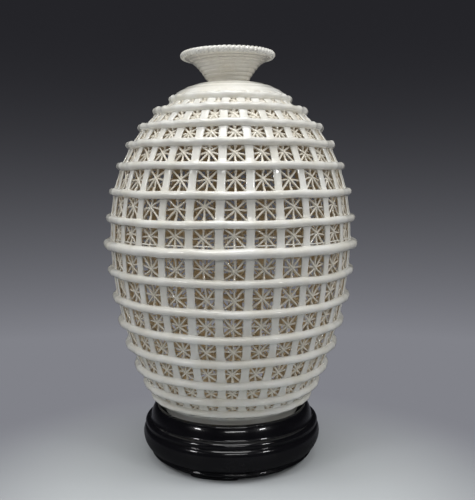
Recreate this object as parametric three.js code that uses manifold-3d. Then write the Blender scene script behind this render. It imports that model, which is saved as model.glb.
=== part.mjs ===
// Openwork porcelain vase standing in its turned wooden stand.
// Units are millimetres, +Z is up, and the origin is the middle of the footprint,
// on the surface that the stand's feet rest on.
// The wall of the vase is laid up from rolls of clay: thin threads that cross as stars, broad
// upright straps over them, and hoops over the straps. All of them follow one egg-shaped profile.

import * as THREE from "three";
import { mergeVertices } from "three/addons/utils/BufferGeometryUtils.js";
import Module from "manifold-3d";

const wasm = await Module();
wasm.setup();

// Egg profile that the crests of the hoops touch
const bellyRadius = 98.4;
const bellyHeight = 178;
const shoulderRise = 121.7; // from the belly up to where the egg would close
const shoulderPower = 2.2;
const footDrop = 172.3; // from the belly down to where the egg would close
const footPower = 1.88;

// Lattice of the wall
const strapCount = 28;
const turn = 2 * Math.PI;
const pitchAngle = turn / strapCount;
const latticeTurn = THREE.MathUtils.degToRad(-87.5) + pitchAngle / 2; // of the first strap
const proudHoopHeight = 173.6; // the thick hoop, where the two halves of the vase are joined
const hoopsEachWay = 7; // above and below the thick hoop
const windowShapes = { above: 0.925, below: 0.965 }; // tier height over strap distance, at the belly
const windowStretches = { above: 0.26, below: 0.02 }; // how much that grows as the wall narrows
const handLaid = [0, 0.4, -1.1, 0.2, 0.8, -0.4, -0.5, 0, 0.4, 0.2, 0.4, 0.6, -1.4, -0.5, 1]; // off rule
const firstStarTier = 3; // tiers are counted from the top hoop down, and each has one row of windows
const lastStarTier = 13;
const uprightInset = 0.13; // of a tier, by which upright threads end short of the slants' rings

// Clay rolls. Depths run inwards from the crests, square to the wall
const gap = 0.3; // between neighbouring pieces
const hoopThickness = 3;
const hoopBreadth = 6.2;
const proudHoopExtra = 1.6;
const strapBreadth = 5.6;
const strapThickness = 1.6;
const threadBreadth = 1.5;
const threadThickness = 0.9;
const threadDip = 0.9; // how much deeper a slanting thread lies behind a strap than in a window
const threadTaper = 0.12; // how much a slanting thread narrows where its ring holds it
const strapDepth = hoopThickness + gap;
const rightThreadDepth = 4.4;
const leftThreadDepth = rightThreadDepth + threadThickness + gap;
const crossThreadDepth = leftThreadDepth + threadThickness + gap;

// Shoulder, neck and mouth
const shoulderEdgeHeight = 287;
const shoulderEdgeThickness = 5;
const shoulderTop = 298.7;
const shoulderThickness = 4;
const shoulderSwellRadii = [24, 34]; // where the dome's line bends down towards its edge
const shoulderSwellDrops = [0.9, 3];
const shoulderUnderRadius = 33;
const shoulderUnderDrop = 7.4;
const shoulderSteps = 4; // along the dome's line
const boreRadius = 11.5;
const neckFootRadius = 16.3;
const neckRise = 18.2;
const mouthFlare = 16.8; // how far the neck widens on its way up
const neckSwellFlares = [3.6, 8.2]; // how far it has widened at the two heights below
const neckSwellRises = [6, 15.3];
const coilRadius = 1.45;
const coilTurns = 6.5;
const coilSteps = 20; // a turn
const coilCorners = 5;
const coilStart = 0.063; // share of the neck's length
const coilStartAngle = THREE.MathUtils.degToRad(-134);
const coilEnd = 0.9;
const neckWallThickness = 1.5;
const neckWallDepth = 2 * coilRadius + gap + 0.1; // the wall's facets need the last tenth
const neckWallShares = [0.15, 0.45, 0.7, 0.87, 1];
const neckWallSides = 18;
const rimRadius = 34.7;
const rimRollRadius = 2.5;
const rimCorners = 5;
const rimSides = 36;
const rimHeight = 320;

// Foot of the vase
const bandTopHeight = 46.8;
const bandThickness = 5;
const bandStraightHeight = 5;
const footUnderside = 37.3;
const footRadius = 54;
const footRingBreadth = 4;
const footRingDrop = 2.9;
const floorTop = 44;
const floorCornerBreadth = 5;
const floorCornerRise = 1.5;

// Stand
const standFootCount = 3;
const standFootHeight = 2.6;
const standFootSpan = THREE.MathUtils.degToRad(35);
const standFootInner = 47;
const standFootOuter = 62;
const standFootTurn = THREE.MathUtils.degToRad(-102.5); // the foot nearest the front
const standUnderside = standFootHeight + gap;
const standSides = 48;
const seatHeight = footUnderside - gap;
const seatRadius = 56;
const lipLine = [[58.4, 40.8], [60.8, 42.2], [63.8, 40.4], [65.7, 37.2], [66, 34.2], [65.5, 32.8]];
const ridgeLine = [[69.1, 30.4], [69.8, 28.4], [68.6, 26.4]];
const beadLine = [[71.2, 23], [71.8, 19.5], [71.4, 15.5], [69.8, 11.5], [65.2, 6.8]];
const flangeLine = [[65.5, 5.6], [65.5, 4.4], [63.4, standUnderside]];

const glaze = new THREE.MeshStandardMaterial({ color: 0xe9e7df, roughness: 0.28, metalness: 0 });
const threadGlaze = new THREE.MeshStandardMaterial({ color: 0xd8d3c6, roughness: 0.35, metalness: 0 });
const lacquer = new THREE.MeshStandardMaterial({ color: 0x17161a, roughness: 0.22, metalness: 0 });

// Radius of the egg at a height
function crestRadius(height) {
  const above = height > bellyHeight;
  const reach = Math.abs(height - bellyHeight) / (above ? shoulderRise : footDrop);
  return bellyRadius * Math.sqrt(1 - reach ** (above ? shoulderPower : footPower));
}

// Unit vectors of the profile at a height, as (radius, height): up along the wall, and out of it
function wallDirections(height) {
  const step = 0.01;
  const slope = (crestRadius(height + step) - crestRadius(height - step)) / (2 * step);
  const up = new THREE.Vector2(slope, 1).normalize();
  return { up, out: new THREE.Vector2(up.y, -up.x) };
}

// Profile point at a depth under the crests, and moved up along the wall by rise
function wallPoint(height, depth, rise = 0) {
  const { up, out } = wallDirections(height);
  const crest = new THREE.Vector2(crestRadius(height), height);
  return crest.addScaledVector(out, -depth).addScaledVector(up, rise);
}

// Distance between two straps at a height
function strapPitch(height) {
  return pitchAngle * crestRadius(height);
}

// Heights of the hoops going one way from the thick hoop. A tier is as tall as the straps are
// apart there, times the shape of its windows, so the tiers close up towards both ends.
function hoopsFrom(start, direction) {
  const step = 0.05;
  const side = direction > 0 ? "above" : "below";
  const heights = [];
  let height = start;
  while (heights.length < hoopsEachWay) {
    let tiers = 0;
    while (tiers < 1) {
      const length = Math.hypot(step, crestRadius(height + direction * step) - crestRadius(height));
      const narrowed = 1 - crestRadius(height) / bellyRadius;
      const shape = windowShapes[side] + windowStretches[side] * narrowed;
      tiers += length / (shape * strapPitch(height));
      height += direction * step;
    }
    heights.push(height);
  }
  return heights;
}

const hoopHeights = [
  ...hoopsFrom(proudHoopHeight, 1).reverse(),
  proudHoopHeight,
  ...hoopsFrom(proudHoopHeight, -1),
].map((height, i) => height + handLaid[i]);

// Height of a place counted in tiers, where hoop number 1 is at 1 and a row of stars at a half
function tierHeight(tier) {
  const upper = Math.floor(tier);
  const lower = Math.min(upper, hoopHeights.length - 1);
  return THREE.MathUtils.lerp(hoopHeights[upper - 1], hoopHeights[lower], tier - upper);
}

// Space point at a profile point and an angle round the axis
function around(profilePoint, angle) {
  return new THREE.Vector3(
    profilePoint.x * Math.cos(angle),
    profilePoint.x * Math.sin(angle),
    profilePoint.y,
  );
}

// The same surface with its faces turned outwards
function facingOut(geometry) {
  const order = geometry.index.array;
  const at = geometry.attributes.position;
  const [a, b, c] = [new THREE.Vector3(), new THREE.Vector3(), new THREE.Vector3()];
  let volume = 0;
  for (let i = 0; i < order.length; i += 3) {
    a.fromBufferAttribute(at, order[i]);
    b.fromBufferAttribute(at, order[i + 1]);
    c.fromBufferAttribute(at, order[i + 2]);
    volume += a.dot(b.cross(c));
  }
  if (volume < 0) {
    for (let i = 0; i < order.length; i += 3) {
      [order[i + 1], order[i + 2]] = [order[i + 2], order[i + 1]];
    }
  }
  return geometry;
}

// Solid strung through sections with the same number of points each, with flat ends
function loft(sections) {
  const count = sections[0].length;
  const triangles = [];
  for (let s = 0; s + 1 < sections.length; s++) {
    for (let i = 0; i < count; i++) {
      const a = s * count + i;
      const b = s * count + ((i + 1) % count);
      triangles.push([a, b, b + count], [a, b + count, a + count]);
    }
  }
  const last = (sections.length - 1) * count;
  for (let i = 1; i + 1 < count; i++) {
    triangles.push([0, i + 1, i], [last, last + i, last + i + 1]);
  }
  const surface = new THREE.BufferGeometry().setFromPoints(sections.flat());
  return facingOut(surface.setIndex(triangles.flat()));
}

const firstCorner = -Math.PI / 2; // angle at which a turned solid starts

// Solid turned about the vertical axis from a closed profile of (radius, height) points
function turned(profile, sides) {
  const closed = profile[0].x === 0 ? profile : [...profile, profile[0]];
  return facingOut(new THREE.LatheGeometry(closed, sides).rotateX(Math.PI / 2));
}

// Solid turned with one flat side at each strap. The profile is that of the flats' middles
function turnedWithFlats(profile) {
  const toCorners = 1 / Math.cos(pitchAngle / 2);
  const corners = profile.map((p) => new THREE.Vector2(p.x * toCorners, p.y));
  return turned(corners, strapCount).rotateZ(latticeTurn - firstCorner - pitchAngle / 2);
}

function toSolid(geometry) {
  const bare = geometry.clone().deleteAttribute("normal").deleteAttribute("uv");
  const merged = mergeVertices(bare);
  return new wasm.Manifold(
    new wasm.Mesh({
      numProp: 3,
      vertProperties: merged.attributes.position.array,
      triVerts: new Uint32Array(merged.index.array),
    }),
  );
}

function toGeometry(solid) {
  const mesh = solid.getMesh();
  return new THREE.BufferGeometry()
    .setAttribute("position", new THREE.BufferAttribute(mesh.vertProperties, 3))
    .setIndex(new THREE.BufferAttribute(mesh.triVerts, 1));
}

function joined(geometries) {
  return toGeometry(geometries.map(toSolid).reduce((whole, part) => whole.add(part)));
}

// Hoop: a roll with a flat back that lies on the straps, and a rounded crest.
// Its sides are as many as the straps, and each flat side lies on one strap.
function hoop(height, extra) {
  const breadth = hoopBreadth + extra;
  return turnedWithFlats([
    wallPoint(height, hoopThickness, -breadth / 2),
    wallPoint(height, -extra),
    wallPoint(height, hoopThickness, breadth / 2),
  ]);
}

// Strap: a flat strip from the shoulder down to the foot, ridged behind where thumbs pressed it
function strap(angle) {
  const stops = [shoulderEdgeHeight - gap, ...hoopHeights, bandTopHeight + gap];
  const side = new THREE.Vector3(-Math.sin(angle), Math.cos(angle), 0);
  return loft(
    stops.map((height) => {
      const face = around(wallPoint(height, strapDepth), angle);
      return [
        face.clone().addScaledVector(side, -strapBreadth / 2),
        face.clone().addScaledVector(side, strapBreadth / 2),
        around(wallPoint(height, strapDepth + strapThickness), angle),
      ];
    }),
  );
}

// Star threads that slant one way. Each runs from the top row of stars to the bottom one, through
// the middle of a window in every tier, and passes behind the straps where they cross the hoops.
// A ring behind one hoop holds their ends together.
function slantThreads(direction, depth, ringTier) {
  const place = (thread, tier, under) =>
    around(
      wallPoint(tierHeight(tier), depth + under),
      latticeTurn + pitchAngle * (thread + direction * (tier - firstStarTier)),
    );
  const tiers = [firstStarTier];
  for (let tier = firstStarTier; tier <= lastStarTier; tier++) tiers.push(tier + 0.5);
  tiers.push(lastStarTier + 1);

  const threads = [];
  for (let thread = 0; thread < strapCount; thread++) {
    threads.push(
      loft(
        tiers.map((tier) => {
          const ends = tier === firstStarTier || tier === lastStarTier + 1;
          const inset = tier === ringTier ? threadTaper : 0;
          const sunk = ends ? threadDip : 0;
          const crest = place(thread, tier, sunk + inset);
          const back = place(thread, tier, sunk + threadThickness - inset);
          const above = place(thread, Math.max(tier - 0.5, firstStarTier), sunk);
          const below = place(thread, Math.min(tier + 0.5, lastStarTier + 1), sunk);
          const run = new THREE.Vector3().subVectors(above, below);
          const out = new THREE.Vector3().subVectors(crest, back);
          const side = new THREE.Vector3().crossVectors(run, out).normalize();
          const half = threadBreadth / 2 - inset;
          return [
            crest,
            back.clone().addScaledVector(side, -half),
            back.clone().addScaledVector(side, half),
          ];
        }),
      ),
    );
  }
  const height = tierHeight(ringTier);
  const ring = turnedWithFlats([
    wallPoint(height, depth + threadDip + threadThickness, -threadBreadth),
    wallPoint(height, depth + threadDip),
    wallPoint(height, depth + threadDip + threadThickness, threadBreadth),
  ]);
  return joined([ring, ...threads]);
}

// Net of upright and level threads that cross in the middle of every window.
// At each crossing four ridges run into one crest, with a back corner between each two.
function crossThreads() {
  const points = [];
  const triangles = [];
  const quad = (a, b, c, d) => triangles.push([a, b, c], [a, c, d]);
  const half = threadBreadth / 2;
  const rows = [];
  const angleOf = (column) => latticeTurn + pitchAngle * (column + 0.5);
  const backPoint = (height, rise, column, offset) => {
    const angle = angleOf(column);
    const side = new THREE.Vector3(-Math.sin(angle), Math.cos(angle), 0);
    const profilePoint = wallPoint(height, crossThreadDepth + threadThickness, rise);
    return around(profilePoint, angle).addScaledVector(side, offset);
  };
  for (let tier = firstStarTier; tier <= lastStarTier; tier++) {
    const height = tierHeight(tier + 0.5);
    const row = [];
    for (let column = 0; column < strapCount; column++) {
      const first = points.length;
      points.push(
        around(wallPoint(height, crossThreadDepth), angleOf(column)),
        backPoint(height, half, column, -half),
        backPoint(height, half, column, half),
        backPoint(height, -half, column, half),
        backPoint(height, -half, column, -half),
      );
      const [crest, upLeft, upRight, downRight, downLeft] = [0, 1, 2, 3, 4].map((i) => first + i);
      row.push({ crest, upLeft, upRight, downRight, downLeft });
    }
    rows.push(row);
  }

  // End of an upright thread behind the hoop at a tier: a crest and two back points
  const endOf = (tier, column) => {
    const height = tierHeight(tier);
    const first = points.length;
    points.push(
      around(wallPoint(height, crossThreadDepth), angleOf(column)),
      backPoint(height, 0, column, -half),
      backPoint(height, 0, column, half),
    );
    return { crest: first, left: first + 1, right: first + 2 };
  };

  rows.forEach((row, r) => {
    row.forEach((hub, column) => {
      const next = row[(column + 1) % strapCount];
      const lower = rows[r + 1] && rows[r + 1][column];
      quad(hub.upLeft, hub.upRight, hub.downRight, hub.downLeft);
      quad(hub.crest, next.crest, next.upLeft, hub.upRight);
      quad(next.crest, hub.crest, hub.downRight, next.downLeft);
      quad(hub.upRight, next.upLeft, next.downLeft, hub.downRight);
      if (lower) {
        quad(hub.crest, hub.downLeft, lower.upLeft, lower.crest);
        quad(hub.downRight, hub.crest, lower.crest, lower.upRight);
        quad(hub.downLeft, hub.downRight, lower.upRight, lower.upLeft);
      } else {
        const end = endOf(lastStarTier + 1 - uprightInset, column);
        quad(hub.crest, hub.downLeft, end.left, end.crest);
        quad(hub.downRight, hub.crest, end.crest, end.right);
        quad(hub.downLeft, hub.downRight, end.right, end.left);
        triangles.push([end.crest, end.left, end.right]);
      }
      if (r === 0) {
        const end = endOf(firstStarTier + uprightInset, column);
        quad(hub.upLeft, hub.crest, end.crest, end.left);
        quad(hub.crest, hub.upRight, end.right, end.crest);
        quad(hub.upRight, hub.upLeft, end.left, end.right);
        triangles.push([end.crest, end.right, end.left]);
      }
    });
  });
  return facingOut(new THREE.BufferGeometry().setFromPoints(points).setIndex(triangles.flat()));
}

// Shoulder: a thin dome that closes the lattice above and carries the neck
function shoulder() {
  const edge = wallPoint(shoulderEdgeHeight, 0);
  const back = wallPoint(shoulderEdgeHeight, shoulderEdgeThickness);
  const top = new THREE.CubicBezierCurve(
    new THREE.Vector2(neckFootRadius, shoulderTop),
    new THREE.Vector2(shoulderSwellRadii[0], shoulderTop - shoulderSwellDrops[0]),
    new THREE.Vector2(shoulderSwellRadii[1], shoulderTop - shoulderSwellDrops[1]),
    edge,
  );
  const under = new THREE.QuadraticBezierCurve(
    back,
    new THREE.Vector2(shoulderUnderRadius, shoulderTop - shoulderUnderDrop),
    new THREE.Vector2(boreRadius, shoulderTop - shoulderThickness),
  );
  const hole = new THREE.Vector2(boreRadius, shoulderTop);
  return turned([...top.getPoints(shoulderSteps), ...under.getPoints(1), hole], strapCount);
}

// Trumpet line that the crests of the neck's winding touch
const neckLine = new THREE.CubicBezierCurve(
  ...[
    [0, 0],
    [neckSwellFlares[0], neckSwellRises[0]],
    [neckSwellFlares[1], neckSwellRises[1]],
    [mouthFlare, neckRise],
  ].map(([flare, rise]) => new THREE.Vector2(neckFootRadius + flare, shoulderTop + gap + rise)),
);

// Point of the neck at a share of its length, at a depth inside the line
function neckPoint(share, depth) {
  const along = neckLine.getTangentAt(share);
  return neckLine.getPointAt(share).addScaledVector(new THREE.Vector2(-along.y, along.x), depth);
}

// Neck wall: the smoothed inside of the neck, which the winding lies on
function neckWall() {
  const outer = neckWallShares.map((share) => neckPoint(share, neckWallDepth));
  const inner = neckWallShares.map((share) => neckPoint(share, neckWallDepth + neckWallThickness));
  const foot = shoulderTop + gap;
  return turned(
    [
      new THREE.Vector2(boreRadius + neckWallThickness, foot),
      ...outer,
      ...inner.reverse(),
      new THREE.Vector2(boreRadius, foot),
    ],
    neckWallSides,
  );
}

// Neck winding: one unbroken roll of clay, wound up the neck wall from the shoulder to the rim
function neckWinding() {
  const steps = coilTurns * coilSteps;
  const sections = [];
  for (let s = 0; s <= steps; s++) {
    const share = THREE.MathUtils.lerp(coilStart, coilEnd, s / steps);
    const angle = coilStartAngle + (s / coilSteps) * turn;
    const along = neckLine.getTangentAt(share);
    const section = [];
    for (let c = 0; c < coilCorners; c++) {
      const corner = (c / coilCorners) * turn;
      const point = neckPoint(share, coilRadius * (1 - Math.cos(corner)));
      section.push(around(point.addScaledVector(along, Math.sin(corner) * coilRadius), angle));
    }
    sections.push(section);
  }
  let least = Infinity;
  for (let s = 0; s + coilSteps < sections.length; s++) {
    for (const a of sections[s]) {
      for (const b of sections[s + coilSteps]) least = Math.min(least, a.distanceTo(b));
    }
  }
  console.log(`the neck's winding clears itself by ${least.toFixed(2)} mm`);
  return loft(sections);
}

// Rim: the thick roll round the mouth
function rim() {
  const roll = new THREE.TorusGeometry(rimRadius, rimRollRadius, rimCorners, rimSides);
  return roll.translate(0, 0, rimHeight);
}

// Foot of the vase: the floor, a foot ring under it, and the plain band that the straps stand on
function vaseFoot() {
  const under = footUnderside + footRingDrop;
  const ringInner = footRadius - footRingBreadth;
  return turned(
    [
      new THREE.Vector2(0, under),
      new THREE.Vector2(ringInner, under),
      new THREE.Vector2(ringInner, footUnderside),
      new THREE.Vector2(footRadius, footUnderside),
      wallPoint(bandTopHeight - bandStraightHeight, strapDepth),
      wallPoint(bandTopHeight, strapDepth - gap),
      wallPoint(bandTopHeight, strapDepth + bandThickness),
      new THREE.Vector2(footRadius - floorCornerBreadth, floorTop + floorCornerRise),
      new THREE.Vector2(footRadius - 2 * floorCornerBreadth, floorTop),
      new THREE.Vector2(0, floorTop),
    ],
    strapCount,
  );
}

// Stand: turned from one block, with a round lip about the seat, a ridge, a fat bead and a flange
function stand() {
  const outline = [
    [0, seatHeight],
    [seatRadius, seatHeight],
    ...lipLine,
    ...ridgeLine,
    ...beadLine,
    ...flangeLine,
    [0, standUnderside],
  ];
  return turned(outline.map(([radius, height]) => new THREE.Vector2(radius, height)), standSides);
}

// Low foot of the stand: a flat pad with curved sides, under the flange
function standFoot() {
  const outline = new THREE.Shape();
  outline.absarc(0, 0, standFootOuter, -standFootSpan / 2, standFootSpan / 2, false);
  outline.absarc(0, 0, standFootInner, standFootSpan / 2, -standFootSpan / 2, true);
  return new THREE.ExtrudeGeometry(outline, {
    depth: standFootHeight,
    bevelEnabled: false,
    curveSegments: 3,
  });
}

function named(name, geometry, material) {
  const mesh = new THREE.Mesh(geometry, material);
  mesh.name = name;
  return mesh;
}

const twoDigits = (number) => String(number).padStart(2, "0");

const vase = new THREE.Group();
vase.add(named("vase_foot", vaseFoot(), glaze));
vase.add(named("shoulder", shoulder(), glaze));
vase.add(named("neck_wall", neckWall(), glaze));
vase.add(named("neck_winding", neckWinding(), glaze));
vase.add(named("rim_roll", rim(), glaze));
hoopHeights.forEach((height, i) => {
  const extra = height === proudHoopHeight ? proudHoopExtra : 0;
  vase.add(named(`hoop_${twoDigits(i + 1)}`, hoop(height, extra), glaze));
});
for (let i = 0; i < strapCount; i++) {
  vase.add(named(`strap_${twoDigits(i + 1)}`, strap(latticeTurn + i * pitchAngle), glaze));
}
vase.add(named("star_threads_right", slantThreads(1, rightThreadDepth, lastStarTier + 1), threadGlaze));
vase.add(named("star_threads_left", slantThreads(-1, leftThreadDepth, firstStarTier), threadGlaze));
vase.add(named("star_threads_cross", crossThreads(), threadGlaze));

const base = new THREE.Group();
base.add(named("stand", stand(), lacquer));
for (let i = 0; i < standFootCount; i++) {
  const pad = named(`stand_foot_${i + 1}`, standFoot(), lacquer);
  pad.rotation.z = standFootTurn + (i * turn) / standFootCount;
  base.add(pad);
}

const whole = new THREE.Group();
whole.add(base, vase);

export default whole;
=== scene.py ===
# %% [markdown]
# # An openwork porcelain vase on a turned stand
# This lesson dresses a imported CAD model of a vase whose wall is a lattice: broad upright straps, rolls of
# clay laid round them as hoops, and fine threads that cross as a star in every window. Everything was
# laid up by hand in soft clay, glazed clear and fired, so nothing is quite straight. The vase stands
# loose in a black lacquered wooden stand.
# Lengths are in millimetres until a mesh is made.

import bpy
import numpy as np
from mathutils import Matrix, Vector


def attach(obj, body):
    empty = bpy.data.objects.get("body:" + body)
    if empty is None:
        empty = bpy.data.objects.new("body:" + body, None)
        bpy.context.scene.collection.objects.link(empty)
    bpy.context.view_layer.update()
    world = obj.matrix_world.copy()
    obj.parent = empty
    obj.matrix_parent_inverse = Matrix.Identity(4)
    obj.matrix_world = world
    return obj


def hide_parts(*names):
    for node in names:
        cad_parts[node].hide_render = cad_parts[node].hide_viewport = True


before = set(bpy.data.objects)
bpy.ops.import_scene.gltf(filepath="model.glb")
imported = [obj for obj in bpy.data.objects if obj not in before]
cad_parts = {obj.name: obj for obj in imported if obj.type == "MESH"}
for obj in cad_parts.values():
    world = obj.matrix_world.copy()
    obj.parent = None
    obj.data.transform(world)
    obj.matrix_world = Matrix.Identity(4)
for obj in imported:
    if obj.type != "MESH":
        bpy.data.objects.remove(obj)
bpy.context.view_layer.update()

# %% [markdown]
# ## The egg that everything lies on
# The whole wall hangs on one egg-shaped line. Between the straps the hoops' crests stand about half a
# millimetre outside it, and the belly hoop's two. A plain ellipse is too slim at the shoulder, so the line
# is a fat ellipse with its own reach and power above and below the belly. Depths are measured square to it
# and inwards, because that is how a potter builds: one layer against the next.

# %% The egg line
TURN = 2 * np.pi
BELLY_RADIUS, BELLY_HEIGHT = 98.4, 178.0
SHOULDER_RISE, SHOULDER_POWER = 121.7, 2.2
FOOT_DROP, FOOT_POWER = 172.3, 1.88


def crest_radius(height):
    """r = R sqrt(1 - |(z - belly height) / reach| ^ power), with its own reach and power above and below."""
    above = height > BELLY_HEIGHT
    reach = np.abs(height - BELLY_HEIGHT) / np.where(above, SHOULDER_RISE, FOOT_DROP)
    return BELLY_RADIUS * np.sqrt(1 - reach ** np.where(above, SHOULDER_POWER, FOOT_POWER))


def wall_directions(height):
    """Unit (r, z) vectors of the line: up along the wall, and out of it, from the slope dr/dz."""
    slope = (crest_radius(height + 0.01) - crest_radius(height - 0.01)) / 0.02
    length = np.hypot(slope, 1)
    return (slope / length, 1 / length), (1 / length, -slope / length)


print("radius at the belly:", round(float(crest_radius(np.array(BELLY_HEIGHT))), 1), "mm")

# %% [markdown]
# ## Where the hoops and straps lie
# There are 28 straps. The hoops close up towards both ends so that every window keeps nearly the same
# shape. Their heights follow from that rule: walking along the wall from the thick hoop at the belly, the
# length walked, over the distance between two straps there and a factor near 1, adds up to one tier at
# each hoop. The potter laid them by eye, so each one is then moved, by up to 3.1 millimetres.

# %% Tiers of the lattice
STRAPS = 28
PITCH = TURN / STRAPS
FIRST_STRAP = np.radians(-87.5) + PITCH / 2
BELLY_HOOP_HEIGHT = 173.6
WINDOW_SHAPE, WINDOW_STRETCH = {1: 0.925, -1: 0.965}, {1: 0.26, -1: 0.02}
HAND_LAID = np.array([3.1, 2.1, 0.8, 1.2, 1.4, -0.1, -0.4, 0, 0.2, -0.4, -0.3, -0.6, -2.2, -2.0, 0.3])
SHOULDER_EDGE_HEIGHT, BAND_TOP_HEIGHT = 287.0, 46.8


def hoops_one_way(direction):
    """Heights where the sum of ds / (shape(z) * pitch(z)) along the line reaches 1, 2, ... 7."""
    heights = BELLY_HOOP_HEIGHT + direction * np.arange(0, 124, 0.05)
    radius = crest_radius(heights)
    walked = np.hypot(0.05, np.diff(radius))
    shape = WINDOW_SHAPE[direction] + WINDOW_STRETCH[direction] * (1 - radius[:-1] / BELLY_RADIUS)
    tiers = np.concatenate([[0], np.cumsum(walked / (shape * PITCH * radius[:-1]))])
    return np.interp(np.arange(1, 8), tiers, heights)


hoop_heights = np.concatenate([hoops_one_way(1)[::-1], [BELLY_HOOP_HEIGHT], hoops_one_way(-1)]) + HAND_LAID
tier_stops = np.concatenate([[SHOULDER_EDGE_HEIGHT], hoop_heights, [BAND_TOP_HEIGHT]])


def tier_height(tier):
    """Height of a place counted in tiers: 0 is the shoulder's edge, 1 to 15 are the hoops, 16 is the band."""
    return np.interp(tier, np.arange(len(tier_stops)), tier_stops)


def strap_pitch(height):
    """Distance between the middles of two straps: the egg's radius times their angle."""
    return PITCH * crest_radius(height)


print("hoops at", hoop_heights.round(1))

# %% [markdown]
# ## The wander of the hand
# Hand-laid clay drifts by up to a millimetre. If each piece wandered by itself, straps and hoops would part
# company, so the drift is one smooth field over the wall that moves hoops, straps and threads alike. It is
# a sum of a few sine waves with whole numbers of waves round the vase, so it meets itself at the back.
# Small wobbles of a single piece come from a second, plainer sum of sines.

# %% Drift and wobble
def drift(height, angle, seed):
    """Sum of a_k sin(m_k angle + n_k height + phase_k) for six whole m_k from 2 to 9, at most about 1."""
    dice = np.random.default_rng(seed)
    total = 0.0
    for waves in (2, 3, 4, 5, 7, 9):
        rise_waves, phase = dice.uniform(-0.09, 0.09), dice.uniform(0, TURN)
        total = total + np.sin(waves * angle + rise_waves * height + phase) / waves**0.5
    return total / 2.6


def wobble(turns, seed, slowest=3, count=8):
    """Sum of sines with about slowest, slowest + 2, ... waves in a turn of 1. It is mostly within 1."""
    dice = np.random.default_rng(seed)
    waves = slowest + 2 * np.arange(count) + dice.integers(0, 2, count)
    phases = dice.uniform(0, TURN, count)
    parts = np.sin(TURN * np.asarray(turns)[..., None] * waves + phases)
    return (parts * waves**-0.4).sum(-1) / 1.8


DRIFT_SIDE, DRIFT_RISE = 0.8, 0.7
LEAN, UNMOVED_HEIGHT = np.radians(0.01), 205.0
FADE_AREA = 3000.0


def on_wall(height, angle, depth=0.0, rise=0.0, side=0.0):
    """Space points: the (r, z) point of the line moved by -depth along out and rise along up, carried to the
    angle and moved by side along the tangent. The drift moves height and side first, and fades at both ends,
    and the whole lattice turns about the axis by 0.01 degree for each millimetre of height."""
    height, angle, depth, rise, side = np.broadcast_arrays(height, angle, depth, rise, side)
    free = np.clip((height - BAND_TOP_HEIGHT) * (SHOULDER_EDGE_HEIGHT - height) / FADE_AREA, 0, 1)
    side = side + DRIFT_SIDE * free * drift(height, angle, 5)
    angle = angle + LEAN * (height - UNMOVED_HEIGHT)
    height = height + DRIFT_RISE * free * drift(height, angle, 11)
    up, out = wall_directions(height)
    radius = crest_radius(height) - depth * out[0] + rise * up[0]
    z = height - depth * out[1] + rise * up[1]
    return np.stack(
        [radius * np.cos(angle) - side * np.sin(angle), radius * np.sin(angle) + side * np.cos(angle), z], -1
    )


everywhere = drift(hoop_heights[:, None], np.linspace(0, TURN, 720), 5)
print("the drift moves straps by up to", round(float(DRIFT_SIDE * np.abs(everywhere).max()), 2), "mm")

# %% [markdown]
# ## From grids of points to closed meshes
# Every piece is a grid: rows of sections, whose columns close on themselves. A ring's rows close too. A
# strip's two ends are closed by a fan to the middle of its end section. Blender takes whole arrays with
# foreach_set, which is much faster than making faces one by one.

# %% Make a piece from grids
MM = 0.001


def closed_faces(rows, columns, looped):
    """Quads between neighbouring rows and columns and, unless looped, fans to the extra last two points."""
    index = np.arange(rows * columns).reshape(rows, columns)
    beside = np.roll(index, -1, axis=1)
    if looped:
        quads = np.stack([index, beside, np.roll(beside, -1, axis=0), np.roll(index, -1, axis=0)], -1)
        return quads.reshape(-1, 4), np.zeros((0, 3), int)
    quads = np.stack([index[:-1], beside[:-1], beside[1:], index[1:]], -1).reshape(-1, 4)
    first, last = rows * columns, rows * columns + 1
    start = np.stack([beside[0], index[0], np.full(columns, first)], -1)
    end = np.stack([index[-1], beside[-1], np.full(columns, last)], -1)
    return quads, np.concatenate([start, end])


def gather(grid, looped, inward=None):
    """Points, quads, triangles and inward values of n closed surfaces, from a grid (n, rows, columns, 3). The
    faces are turned round where the sum of a . (b x c) over them, six times the volume, is negative."""
    copies, rows, columns, _ = grid.shape
    inward = np.zeros(grid.shape[:3]) if inward is None else np.broadcast_to(inward, grid.shape[:3])
    points, values = grid.reshape(copies, -1, 3), inward.reshape(copies, -1)
    if not looped:
        ends = grid[:, [0, -1]].mean(2)
        points = np.concatenate([points, ends], 1)
        values = np.concatenate([values, inward[:, [0, -1]].mean(2)], 1)
    quads, fans = closed_faces(rows, columns, looped)
    a, b, c, d = (points[0][quads[:, k]] for k in range(4))
    volume = (a * np.cross(b, c)).sum() + (a * np.cross(c, d)).sum()
    if len(fans):
        volume += (points[0][fans[:, 0]] * np.cross(points[0][fans[:, 1]], points[0][fans[:, 2]])).sum()
    if volume < 0:
        quads, fans = quads[:, ::-1], fans[:, ::-1]
    step = (np.arange(copies) * points.shape[1])[:, None, None]
    return points.reshape(-1, 3), (quads + step).reshape(-1, 4), (fans + step).reshape(-1, 3), values.ravel()


def put(name, data):
    """A new object with this mesh, lamp or camera, linked to the scene."""
    made = bpy.data.objects.new(name, data)
    bpy.context.scene.collection.objects.link(made)
    return made


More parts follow.
